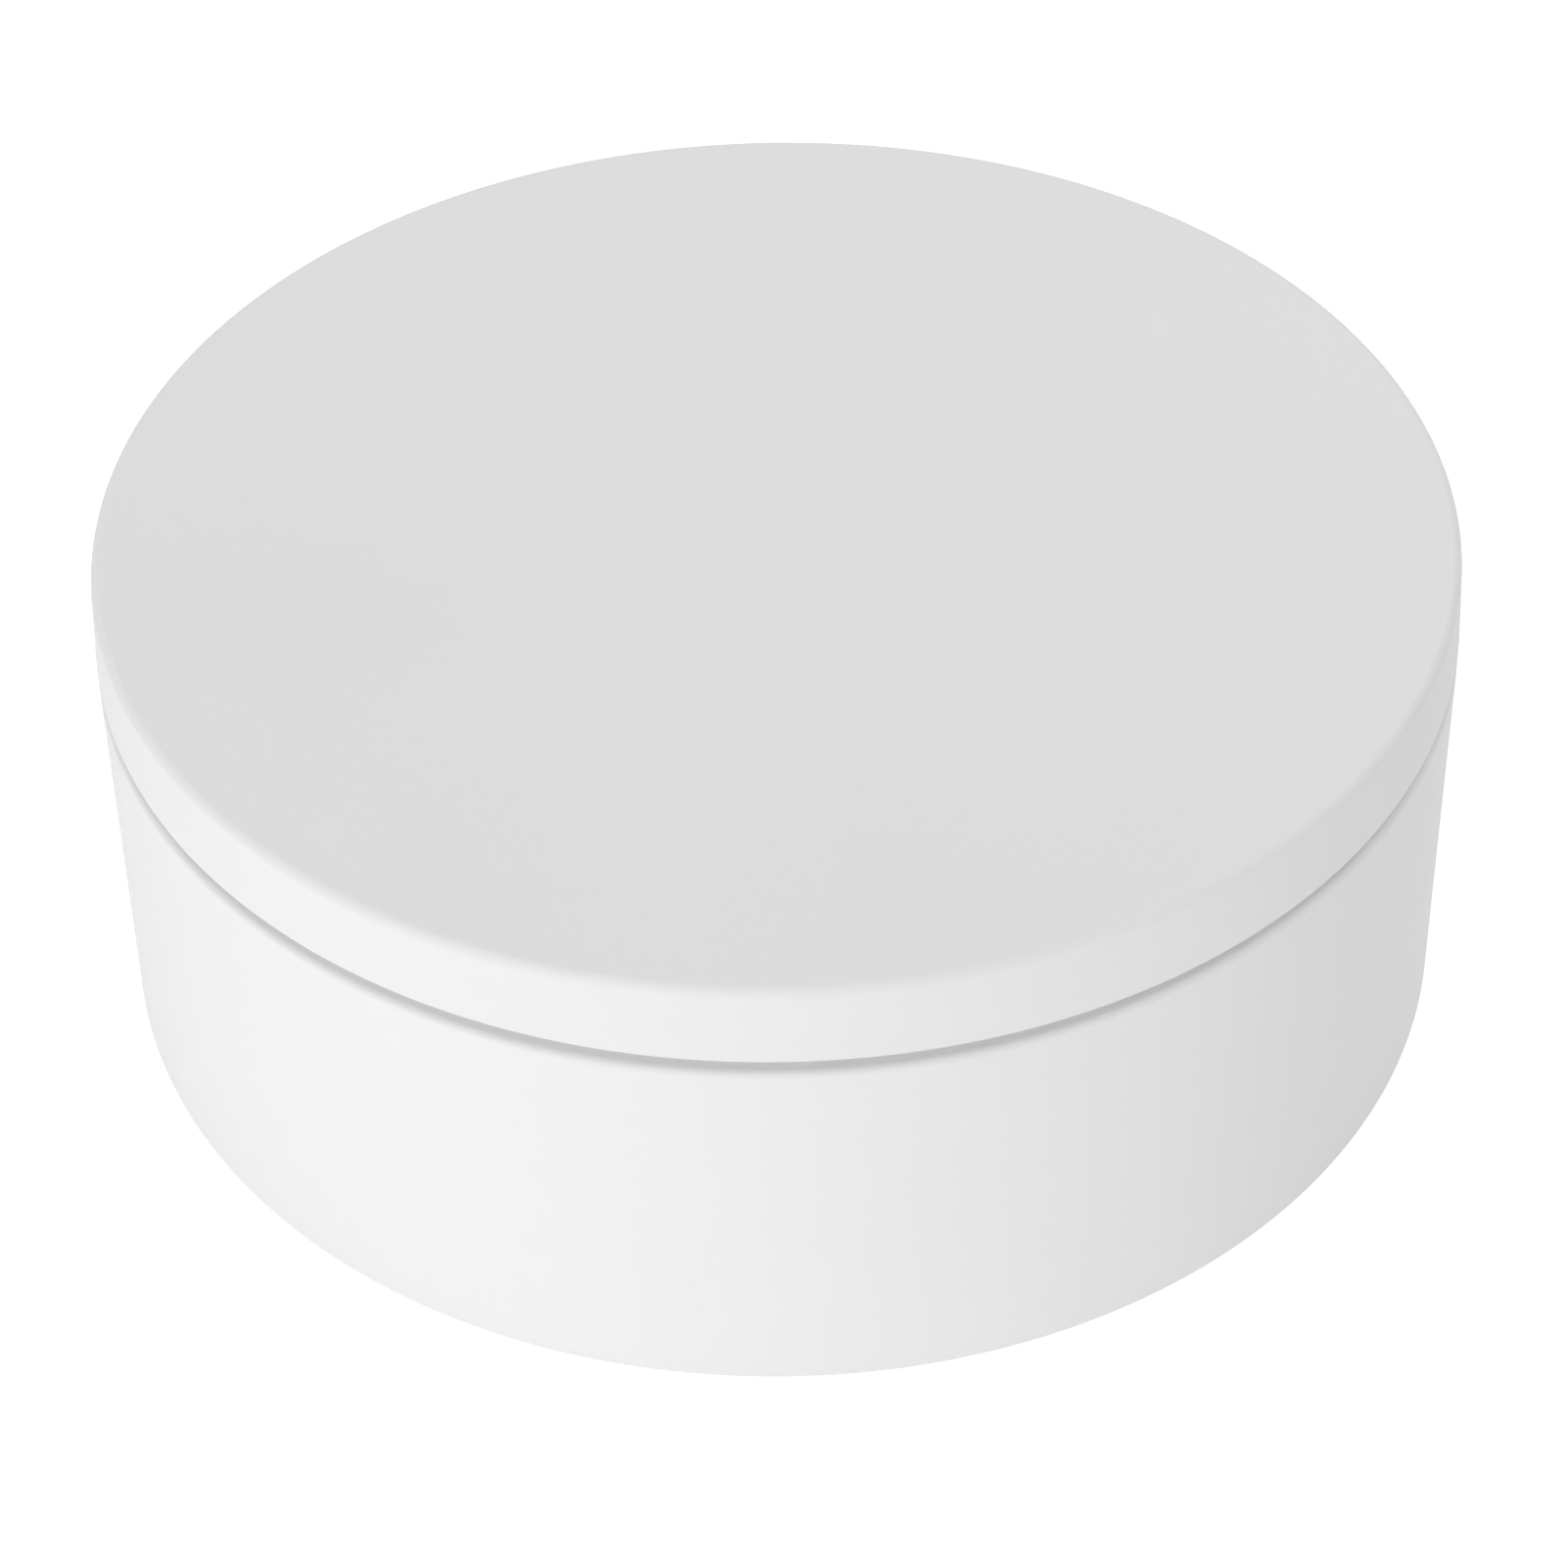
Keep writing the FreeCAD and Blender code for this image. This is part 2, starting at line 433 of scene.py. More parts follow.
def outline_points(corners: list[Corner]) -> list[Vector]:
    """Follow a rounded outline clockwise.

    A support point beside each end of a rounding keeps its shading from running out over the flat there.

    Args:
        corners: the corners in order. An outline that meets the axis starts and ends on it.

    Returns:
        Points as (radius, height) in millimetres, closed unless the outline meets the axis.
    """
    places = [Vector((corner.radius, corner.height)) for corner in corners]
    if sum(a.x * b.y - b.x * a.y for a, b in zip(places, places[1:] + places[:1])) > 0:
        corners, places = corners[::-1], places[::-1]
    points = []
    for index, corner in enumerate(corners):
        here = places[index]
        back = places[index - 1] - here
        ahead = places[(index + 1) % len(places)] - here
        if corner.rounding == 0:
            points.append(here)
            continue
        half = back.angle(ahead) / 2
        reach = min(corner.rounding / math.tan(half), ROUND_SHARE * back.length, ROUND_SHARE * ahead.length)
        before = min(SUPPORT_MM, SUPPORT_SHARE * back.length)
        after = min(SUPPORT_MM, SUPPORT_SHARE * ahead.length)
        back.normalize()
        ahead.normalize()
        centre = here + (back + ahead).normalized() * reach / math.cos(half)
        spoke = here + back * reach - centre
        sweep = math.copysign(math.pi - 2 * half, back.y * ahead.x - back.x * ahead.y)
        steps = max(2, math.ceil(math.degrees(abs(sweep)) / ROUND_STEP_DEG))
        points.append(here + back * (reach + before))
        points += [centre + Matrix.Rotation(sweep * step / steps, 2) @ spoke for step in range(steps + 1)]
        points.append(here + ahead * (reach + after))
    if points[0].x > 0:
        points.append(points[0])
    return points


def round_bar(start: float, end: float, width: float, steps: int = 8) -> list[tuple[float, float]]:
    """Outline of a straight bar along +X with a round inner end.

    Args:
        start: where the round end begins.
        end: where the flat end stands.
        width: across the bar.
        steps: faces round the end.

    Returns:
        Points as (x, y), anticlockwise.
    """
    nose = width / 2
    turns = [math.pi * (0.5 + step / steps) for step in range(steps + 1)]
    rounded = [(start + nose + nose * math.cos(turn), nose * math.sin(turn)) for turn in turns]
    return [(end, -nose), (end, nose)] + rounded


def round_hole(middle: float, radius: float, steps: int = 64) -> list[tuple[float, float]]:
    """Outline of a circle whose middle is on the X axis, as points (x, y), anticlockwise."""
    turns = [2 * math.pi * step / steps for step in range(steps)]
    return [(middle + radius * math.cos(turn), radius * math.sin(turn)) for turn in turns]


def prism(name: str, outline: list[tuple[float, float]], bottom: float, top: float,
          softening: float = 0.0) -> Object:
    """Stand a flat outline up into a closed solid.

    Args:
        name: the object's name.
        outline: points as (x, y) in millimetres, anticlockwise.
        bottom: height of the lower face.
        top: height of the upper face.
        softening: bevel of the upper edges.

    Returns:
        The new object.
    """
    count = len(outline)
    points = [(x * MM, y * MM, z * MM) for z in (bottom, top) for x, y in outline]
    sides = [(i, (i + 1) % count, count + (i + 1) % count, count + i) for i in range(count)]
    solid = add_object(name, points, [tuple(range(count))[::-1], tuple(range(count, 2 * count))] + sides)
    if softening > 0:
        shape = bmesh.new()
        shape.from_mesh(solid.data)
        upper = [edge for edge in shape.edges if min(point.co.z for point in edge.verts) > (top - softening) * MM]
        bmesh.ops.bevel(shape, geom=upper, offset=softening * MM, segments=BEVEL_STEPS,
                        profile=BEVEL_PROFILE, affect="EDGES")
        shape.to_mesh(solid.data)
        shape.free()
    return solid


def disc_blank(name: str, radius: float, bottom: float, top: float, rounding: float, cells: int,
               side_rows: int, round_rows: int = 0) -> Object:
    """Make a closed disc of near-square faces, so that relief falls evenly on it.

    Args:
        name: the piece's name.
        radius: outer radius in metres.
        bottom: height of the lower face.
        top: height of the upper face.
        rounding: radius of both edges.
        cells: faces across each flat face.
        side_rows: rows of faces up the straight side.
        round_rows: rows of faces round each edge.

    Returns:
        The new object, linked to the scene.
    """
    inner = radius - rounding
    turns = [math.pi / 2 * row / round_rows for row in range(1, round_rows + 1)]
    edge = [(inner + rounding * math.sin(turn), rounding * (1 - math.cos(turn))) for turn in turns]
    straight = top - bottom - 2 * rounding
    rings = [(reach, bottom + rise) for reach, rise in edge]
    rings += [(radius, bottom + rounding + row / side_rows * straight) for row in range(1, side_rows)]
    rings += [(reach, top - rise) for reach, rise in edge[::-1]]

    def on_disc(column: int, line: int) -> tuple[float, float]:
        """Draw a square grid's point out to a unit disc.

        Args:
            column: the point's column in the grid.
            line: its line.

        Returns:
            Its place on the disc.
        """
        x = 2 * column / cells - 1
        y = 2 * line / cells - 1
        wide = abs(x) >= abs(y)
        reach = x if wide else y
        if reach == 0:
            return 0.0, 0.0
        angle = math.pi / 4 * y / x if wide else math.pi / 2 - math.pi / 4 * x / y
        return reach * math.cos(angle), reach * math.sin(angle)

    step = cells + 1
    grid = [on_disc(column, line) for line in range(step) for column in range(step)]
    quads = [(corner, corner + 1, corner + step + 1, corner + step)
             for corner in range(cells * step) if corner % step < cells]
    border = list(range(cells)) + [line * step + cells for line in range(cells)]
    border += [cells * step + column for column in range(cells, 0, -1)]
    border += [line * step for line in range(cells, 0, -1)]
    points = [(x * inner, y * inner, bottom) for x, y in grid]
    loops = [border]
    for reach, height in rings:
        loops.append(list(range(len(points), len(points) + len(border))))
        points += [(grid[number][0] * reach, grid[number][1] * reach, height) for number in border]
    upper_first = len(points)
    loops.append([upper_first + number for number in border])
    points += [(x * inner, y * inner, top) for x, y in grid]
    faces = [quad[::-1] for quad in quads]
    faces += [tuple(upper_first + number for number in quad) for quad in quads]
    for lower, upper in zip(loops, loops[1:]):
        around = list(zip(lower, upper))
        faces += [(low, low_next, high_next, high)
                  for (low, high), (low_next, high_next) in zip(around, around[1:] + around[:1])]
    blank = add_object(name, points, faces)
    blank.data.shade_smooth()
    return blank


def new_geometry_tree(name: str, counts: tuple[str, ...],
                      sizes: tuple[str, ...]) -> tuple[NodeTree, NodeOutputs]:
    """Start a geometry tree that takes a shape, a material and named numbers.

    Args:
        name: the tree's name.
        counts: names of the inputs that are whole numbers.
        sizes: names of the inputs that are lengths, angles and seeds.

    Returns:
        The tree, and its inputs by name.
    """
    tree = bpy.data.node_groups.new(name, "GeometryNodeTree")
    kinds = {"Geometry": "Geometry", "Material": "Material", **dict.fromkeys(counts, "Int"),
             **dict.fromkeys(sizes, "Float")}
    for label, kind in kinds.items():
        tree.interface.new_socket(label, in_out="INPUT", socket_type=f"NodeSocket{kind}")
    tree.interface.new_socket("Geometry", in_out="OUTPUT", socket_type="NodeSocketGeometry")
    return tree, tree.nodes.new("NodeGroupInput").outputs


def close_geometry_tree(tree: NodeTree, shaped: NodeSocket,
                        material: NodeSocket) -> None:
    """End a geometry tree in realised, dressed geometry.

    Args:
        tree: the tree to end.
        shaped: the finished geometry.
        material: the tree's material input.
    """
    real = add_node(tree, "GeometryNodeRealizeInstances", links={"Geometry": shaped})
    dressed = add_node(tree, "GeometryNodeSetMaterial",
                       links={"Geometry": real.outputs["Geometry"], "Material": material})
    add_node(tree, "NodeGroupOutput", links={0: dressed.outputs["Geometry"]})


def keep_result(piece: Object, modifier: Modifier) -> None:
    """Make what a modifier gives the piece's plain mesh.

    Args:
        piece: the piece with the modifier.
        modifier: its only modifier.
    """
    depsgraph = bpy.context.evaluated_depsgraph_get()
    shaped = bpy.data.meshes.new_from_object(piece.evaluated_get(depsgraph), preserve_all_data_layers=True,
                                             depsgraph=depsgraph)
    piece.modifiers.remove(modifier)
    plain = piece.data
    piece.data = shaped
    bpy.data.meshes.remove(plain)
    shaped.name = piece.name


def shape_with(blank: Object, tree: NodeTree, values: dict) -> None:
    """Run a geometry tree on a piece and keep the result as its plain mesh.

    Args:
        blank: the piece to shape.
        tree: the geometry tree.
        values: the tree's inputs, by name.
    """
    modifier = blank.modifiers.new(tree.name, "NODES")
    modifier.node_group = tree
    for socket in tree.interface.items_tree:
        if socket.in_out == "INPUT" and socket.name in values:
            modifier[socket.identifier] = values[socket.name]
    keep_result(blank, modifier)


def join_to(piece: Object, other: Object) -> None:
    """Add another object's faces to a piece, and drop the other.

    Args:
        piece: the piece that grows.
        other: the object whose faces it takes.
    """
    shape = bmesh.new()
    shape.from_mesh(piece.data)
    shape.from_mesh(other.data)
    shape.to_mesh(piece.data)
    shape.free()
    bpy.data.meshes.remove(other.data)


def cut_with(piece: Object, cutter: Object) -> None:
    """Cut an object's shape out of a piece, and drop the object.

    Args:
        piece: the piece to cut.
        cutter: the shape to take away.
    """
    modifier = piece.modifiers.new("cut", "BOOLEAN")
    modifier.operation = "DIFFERENCE"
    modifier.solver = "EXACT"
    modifier.object = cutter
    keep_result(piece, modifier)
    bpy.data.meshes.remove(cutter.data)


@cache
def turning_tree() -> NodeTree:
    """Build the tree that turns a row of outline points about the Z axis into a closed skin.

    Returns:
        A tree with inputs for the material and the number of faces around the axis.
    """
    tree, given = new_geometry_tree("turned_outline", ("Segments",), ())
    rows = add_node(tree, "GeometryNodeAttributeDomainSize", links={"Geometry": given["Geometry"]})
    columns = calc(tree, "ADD", given["Segments"], 1.0)
    grid = add_node(tree, "GeometryNodeMeshGrid",
                    links={"Vertices X": rows.outputs["Point Count"], "Vertices Y": columns})
    number = add_node(tree, "GeometryNodeInputIndex").outputs[0]
    row = calc(tree, "FLOOR", calc(tree, "DIVIDE", number, columns))
    column = calc(tree, "MODULO", number, columns)
    angle = calc(tree, "MULTIPLY", column, calc(tree, "DIVIDE", 2 * math.pi, given["Segments"]))
    place = add_node(tree, "GeometryNodeInputPosition").outputs[0]
    point = add_node(tree, "GeometryNodeSampleIndex", {"data_type": "FLOAT_VECTOR", "domain": "POINT"},
                     {"Geometry": given["Geometry"], "Value": place, "Index": row})
    turned = add_node(tree, "ShaderNodeVectorRotate", {"rotation_type": "Z_AXIS"},
                      {"Vector": point.outputs[0], "Angle": angle})
    skin = add_node(tree, "GeometryNodeSetPosition",
                    links={"Geometry": grid.outputs["Mesh"], "Position": turned.outputs[0]})
    closed = add_node(tree, "GeometryNodeMergeByDistance", {"Distance": MERGE_MM * MM},
                      {"Geometry": skin.outputs["Geometry"]})
    close_geometry_tree(tree, closed.outputs["Geometry"], given["Material"])
    return tree


@cache
def ring_tree() -> NodeTree:
    """Build the tree that repeats a shape at equal angles about the Z axis.

    Returns:
        A tree with inputs for the material, how many there are and the angle of the first.
    """
    tree, given = new_geometry_tree("even_ring", ("Count",), ("First angle",))
    marks = add_node(tree, "GeometryNodePoints", links={"Count": given["Count"]})
    number = add_node(tree, "GeometryNodeInputIndex").outputs[0]
    step = calc(tree, "DIVIDE", 2 * math.pi, given["Count"])
    angle = calc(tree, "MULTIPLY_ADD", number, step, given["First angle"])
    upright = add_node(tree, "ShaderNodeCombineXYZ", links={"Z": angle})
    turn = add_node(tree, "FunctionNodeEulerToRotation", links={0: upright.outputs[0]})
    ring = add_node(tree, "GeometryNodeInstanceOnPoints",
                    links={"Points": marks.outputs[0], "Instance": given["Geometry"], "Rotation": turn.outputs[0]})
    close_geometry_tree(tree, ring.outputs["Instances"], given["Material"])
    return tree


def turned_piece(name: str, corners: list[Corner], material: Material) -> Object:
    """Turn an outline into a closed piece.

    Args:
        name: the piece's name.
        corners: the outline.
        material: the piece's finish.

    Returns:
        The new object.
    """
    piece = add_object(name, [(point.x * MM, 0.0, point.y * MM) for point in outline_points(corners)], [])
    shape_with(piece, turning_tree(), {"Material": material, "Segments": SEGMENTS})
    return piece


def ring_of(shape: Object, count: int, first_deg: float,
            material: Material) -> Object:
    """Repeat a shape evenly about the axis, in place.

    Args:
        shape: the shape at angle nought.
        count: how many there are.
        first_deg: angle of the first.
        material: their finish.

    Returns:
        The same object, with all of them in its mesh.
    """
    shape_with(shape, ring_tree(),
               {"Material": material, "Count": count, "First angle": math.radians(first_deg)})
    return shape


def hand_over(piece: Object, body: Body, node: str) -> None:
    """Put a finished piece in the place of its solid.

    Args:
        piece: the piece.
        body: the body that it rides on.
        node: the frame node that it stands for.
    """
    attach(piece, body.value)
    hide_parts(node)
    LOG.info("%s stands for %s: %d faces", piece.name, node, len(piece.data.polygons))


def soften(piece: Object) -> None:
    """Shade a hard piece smooth across its roundings and sharp at its edges."""
    piece.data.shade_smooth()
    piece.data.set_sharp_from_angle(angle=math.radians(SHARP_DEG))


@cache
def pore_tree() -> NodeTree:
    """Build the tree that presses open pores of two sizes into a sponge.

    Returns:
        A tree with inputs for each size of pore, its depth, the raggedness of its edge and the seed.
    """
    tree, given = new_geometry_tree("open_pores", (), (
        "Large spacing", "Large depth", "Small spacing", "Small depth", "Raggedness", "Seed"))
    place = add_node(tree, "GeometryNodeInputPosition").outputs["Position"]
    waves = calc(tree, "DIVIDE", RAGGED_WAVES, given["Large spacing"])
    ragged = add_node(tree, "ShaderNodeTexNoise", {"noise_dimensions": "4D", "Detail": 2.0},
                      {"Vector": place, "W": given["Seed"], "Scale": waves})
    centred = add_node(tree, "ShaderNodeVectorMath", {"operation": "SUBTRACT", 1: NOISE_MIDDLE},
                       {0: ragged.outputs["Color"]})
    shift = add_node(tree, "ShaderNodeVectorMath", {"operation": "SCALE"},
                     {0: centred.outputs[0], "Scale": given["Raggedness"]})
    moved = add_node(tree, "ShaderNodeVectorMath", {"operation": "ADD"}, {0: place, 1: shift.outputs[0]})
    narrowest, widest = PORE_WIDTHS
    pits = []
    for label in ("Large", "Small"):
        scale = calc(tree, "DIVIDE", 1.0, given[f"{label} spacing"])
        cell = add_node(tree, "ShaderNodeTexVoronoi", {"voronoi_dimensions": "4D", "Randomness": 1.0},
                        {"Vector": moved.outputs[0], "W": given["Seed"], "Scale": scale})
        chance = add_node(tree, "FunctionNodeSeparateColor", links={"Color": cell.outputs["Color"]})
        width = add_node(tree, "ShaderNodeMapRange",
                         {"From Min": NARROW_SHARE, "To Min": narrowest, "To Max": widest},
                         {"Value": chance.outputs["Red"]})
        pit = add_node(tree, "ShaderNodeMapRange",
                       {"interpolation_type": "SMOOTHSTEP", "To Min": 1.0, "To Max": 0.0},
                       {"Value": cell.outputs["Distance"], "From Max": width.outputs["Result"]})
        pits.append(calc(tree, "MULTIPLY", pit.outputs["Result"], given[f"{label} depth"]))
    depth = calc(tree, "MAXIMUM", *pits)
    normal = add_node(tree, "GeometryNodeInputNormal")
    press = add_node(tree, "ShaderNodeVectorMath", {"operation": "SCALE"},
                     {0: normal.outputs["Normal"], "Scale": calc(tree, "MULTIPLY", depth, -1.0)})
    # The stored depth, from nought to one, drives the foam's painted shade in the pores
    stored = add_node(tree, "GeometryNodeStoreNamedAttribute",
                      {"data_type": "FLOAT", "domain": "POINT", "Name": PORE_ATTRIBUTE},
                      {"Geometry": given["Geometry"], "Value": calc(tree, "DIVIDE", depth, given["Large depth"])})
    pressed = add_node(tree, "GeometryNodeSetPosition",
                       links={"Geometry": stored.outputs["Geometry"], "Offset": press.outputs[0]})
    close_geometry_tree(tree, pressed.outputs["Geometry"], given["Material"])
    return tree


@cache
def ripple_tree() -> NodeTree:
    """Build the tree that cockles a sheet of paper, which only ever lifts from what it lies on.

    Returns:
        A tree with inputs for the ripple's width and height and the seed.
    """
    tree, given = new_geometry_tree("cockled_paper", (), ("Ripple width", "Ripple height", "Seed"))
    place = add_node(tree, "GeometryNodeInputPosition").outputs["Position"]
    flat = add_node(tree, "ShaderNodeVectorMath", {"operation": "MULTIPLY", 1: (1.0, 1.0, 0.0)}, {0: place})
    scale = calc(tree, "DIVIDE", 1.0, given["Ripple width"])
    wave = add_node(tree, "ShaderNodeTexNoise", {"noise_dimensions": "4D", "Detail": 1.0},
                    {"Vector": flat.outputs[0], "W": given["Seed"], "Scale": scale})
    rise = calc(tree, "MULTIPLY", wave.outputs["Fac"], given["Ripple height"])
    lift = add_node(tree, "ShaderNodeCombineXYZ", links={"Z": rise})
    lifted = add_node(tree, "GeometryNodeSetPosition",
                      links={"Geometry": given["Geometry"], "Offset": lift.outputs[0]})
    close_geometry_tree(tree, lifted.outputs["Geometry"], given["Material"])
    return tree


def dress_node(node: str, material: Material) -> None:
    """Give a frame node its finish in place of the plain one.

    Args:
        node: the node's name.
        material: the finish.
    """
    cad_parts[node].material_slots[0].material = material
    LOG.info("%s keeps its solid, in %s", node, material.name)


@dataclass
class Tub:
    """Outer tub with the ribs that carry the tray, a recessed underside and silicone feet."""

    plastic: MouldedPlastic
    silicone: SiliconeRubber
    radius_mm: float = 65.0
    draft_mm: float = 0.6
    wall_mm: float = 3.0
    floor_mm: float = 2.6
    rim_round_mm: float = 0.7
    mouth_round_mm: float = 0.5
    base_round_mm: float = 0.6
    corner_round_mm: float = 2.5
    ring_mm: float = 5.4
    recess_mm: float = 0.4
    ring_round_mm: float = 0.15
    gate_radius_mm: float = 3.0
    gate_depth_mm: float = 0.3
    gate_round_mm: float = 0.1
    rib_count: int = 8
    rib_width_mm: float = 2.0
    rib_depth_mm: float = 2.8
    rib_softening_mm: float = 0.25
    foot_count: int = 4
    pocket_radius_mm: float = 6.1
    foot_circle_mm: float = 50.0

    def outline(self) -> list[Corner]:
        """Draw the turned shell, with the sunk mark of the moulding gate under its middle.

        Returns:
            Its outline.
        """
        low, high = box_mm("tub")
        recess = low.z + self.recess_mm
        base = self.radius_mm - self.draft_mm
        inner = self.radius_mm - self.wall_mm
        return [
            Corner(0, recess + self.gate_depth_mm),
            Corner(self.gate_radius_mm, recess + self.gate_depth_mm, self.gate_round_mm),
            Corner(self.gate_radius_mm, recess, self.gate_round_mm),
            Corner(base - self.ring_mm, recess),
            Corner(base - self.ring_mm, low.z, self.ring_round_mm),
            Corner(base, low.z, self.base_round_mm),
            Corner(self.radius_mm, high.z, self.rim_round_mm),
            Corner(inner, high.z, self.mouth_round_mm),
            Corner(inner, low.z + self.floor_mm, self.corner_round_mm),
            Corner(0, low.z + self.floor_mm),
        ]

    def build(self) -> None:
        """Turn the shell, sink its foot pockets, stand its ribs in it and dress its feet."""
        white = self.plastic.material()
        tub = turned_piece("tub_shell", self.outline(), white)
        pocket_top = box_mm("foot_pad_1")[1].z
        pocket = prism("foot_pocket", round_hole(self.foot_circle_mm, self.pocket_radius_mm), 0, pocket_top)
        cut_with(tub, ring_of(pocket, self.foot_count, 180 / self.foot_count, white))
        inner = self.radius_mm - self.wall_mm
        floor = box_mm("tub")[0].z + self.floor_mm
        rib_top = box_mm("wet_tray")[1].z - WaterTray.flange_mm
        bar = round_bar(inner - self.rib_depth_mm, inner + self.wall_mm / 2, self.rib_width_mm)
        rib = prism("rib", bar, (pocket_top + floor) / 2, rib_top, self.rib_softening_mm)
        join_to(tub, ring_of(rib, self.rib_count, 180 / self.rib_count, white))
        soften(tub)
        hand_over(tub, Body.DRUM, "tub")
        grey = self.silicone.material()
        for number in range(1, self.foot_count + 1):
            dress_node(f"foot_pad_{number}", grey)


@dataclass
class Lid:
    """Push-on lid: an outer cover, the plug that closes it from below, and the seal on the plug."""

    plastic: MouldedPlastic
    silicone: SiliconeRubber
    radius_mm: float = 65.0
    height_mm: float = 8.1
    draft_mm: float = 0.3
    plate_mm: float = 2.4
    skirt_mm: float = 2.4
    ledge_mm: float = 1.0
    top_round_mm: float = 0.9
    edge_round_mm: float = 0.2
    inner_round_mm: float = 0.6
    snap_radius_mm: float = 57.4
    snap_wall_mm: float = 1.6
    bead_radius_mm: float = 58.0
    bead_height_mm: float = 1.1
    bead_round_mm: float = 0.4
    plug_radius_mm: float = 60.0
    plug_wall_mm: float = 1.8
    plug_floor_mm: float = 1.8
    plug_flange_mm: float = 2.0
    plug_lip_radius_mm: float = 57.6
    plug_lip_mm: float = 1.6
    plug_collar_mm: float = 1.2
    groove_radius_mm: float = 59.2
    seal_inner_mm: float = 59.25
    seal_band_mm: float = 60.9
    seal_lip_mm: float = 61.7
    seal_lip_count: int = 2
    seal_pitch_mm: float = 2.0
    seal_root_mm: float = 1.0
    seal_tip_mm: float = 0.4
    seal_round_mm: float = 0.15

    def cover_outline(self) -> list[Corner]:
        """Draw the cover: plate, skirt with a ledge for the plug, and snap ring.

        Returns:
            Its outline.
        """
        low, high = box_mm("lid_cover")
        edge = high.z - self.height_mm
        under = high.z - self.plate_mm
        skirt = self.radius_mm - self.skirt_mm
        ledge = edge + self.plug_flange_mm
        ring = self.snap_radius_mm - self.snap_wall_mm
        return [
            Corner(0, high.z),
            Corner(self.radius_mm - self.draft_mm, high.z, self.top_round_mm),
            Corner(self.radius_mm, edge, self.edge_round_mm),
            Corner(skirt, edge, self.edge_round_mm),
            Corner(skirt, ledge),
            Corner(skirt - self.ledge_mm, ledge),
            Corner(skirt - self.ledge_mm, under, self.inner_round_mm),
            Corner(self.snap_radius_mm, under, self.inner_round_mm),
            Corner(self.snap_radius_mm, low.z + self.bead_height_mm),
            Corner(self.bead_radius_mm, low.z + self.bead_height_mm),
            Corner(self.bead_radius_mm, low.z, self.bead_round_mm),
            Corner(ring, low.z, self.bead_round_mm),
            Corner(ring, under, self.inner_round_mm),
            Corner(0, under),
        ]

    def plug_outline(self) -> list[Corner]:
        """Draw the plug: a cup with a groove for the seal and a lip over the snap bead.

        Returns:
            Its outline.
        """
        low, high = box_mm("lid_plug")
        flange = high.z - self.plug_flange_mm
        inner = self.plug_radius_mm - self.plug_wall_mm
        lip = high.z - self.plug_lip_mm
        collar = low.z + self.plug_collar_mm
        return [
            Corner(0, low.z),
            Corner(self.plug_radius_mm, low.z, self.inner_round_mm),
            Corner(self.plug_radius_mm, collar, self.edge_round_mm),
            Corner(self.groove_radius_mm, collar),
            Corner(self.groove_radius_mm, flange),
            Corner(high.x, flange, self.edge_round_mm),
            Corner(high.x, high.z),
            Corner(self.plug_lip_radius_mm, high.z, self.edge_round_mm),
            Corner(self.plug_lip_radius_mm, lip, self.edge_round_mm),
            Corner(inner, lip),
            Corner(inner, low.z + self.plug_floor_mm, self.inner_round_mm),
            Corner(0, low.z + self.plug_floor_mm),
        ]

    def seal_outline(self) -> list[Corner]:
        """Draw the seal: a flange on the rim, and a band with lips that wipe the tub's bore.

        Returns:
            Its outline.
        """
        low, high = box_mm("lid_gasket")
        outline = [Corner(self.seal_inner_mm, high.z), Corner(self.seal_inner_mm, low.z),
                   Corner(self.seal_band_mm, low.z)]
        for number in range(self.seal_lip_count):
            middle = low.z + self.seal_pitch_mm * (number + 0.5)
            outline += [
                Corner(self.seal_band_mm, middle - self.seal_root_mm / 2, self.seal_round_mm),
                Corner(self.seal_lip_mm, middle - self.seal_tip_mm / 2, self.seal_round_mm),
                Corner(self.seal_lip_mm, middle + self.seal_tip_mm / 2, self.seal_round_mm),
                Corner(self.seal_band_mm, middle + self.seal_root_mm / 2, self.seal_round_mm),
            ]
        rim = box_mm("tub")[1].z
        return outline + [Corner(self.seal_band_mm, rim), Corner(high.x, rim), Corner(high.x, high.z)]

    def build(self) -> None:
        """Turn the three rings of the lid."""
        for name, node, outline, finish, slot in (
                ("lid_shell", "lid_cover", self.cover_outline(), self.plastic, Slot.SHELL),
                ("lid_cup", "lid_plug", self.plug_outline(), self.plastic, Slot.SHELL),
                ("lid_seal", "lid_gasket", self.seal_outline(), self.silicone, Slot.SEAL)):
            piece = turned_piece(name, outline, finish.material())
            soften(piece)
            hand_over(piece, Body.LID, node)


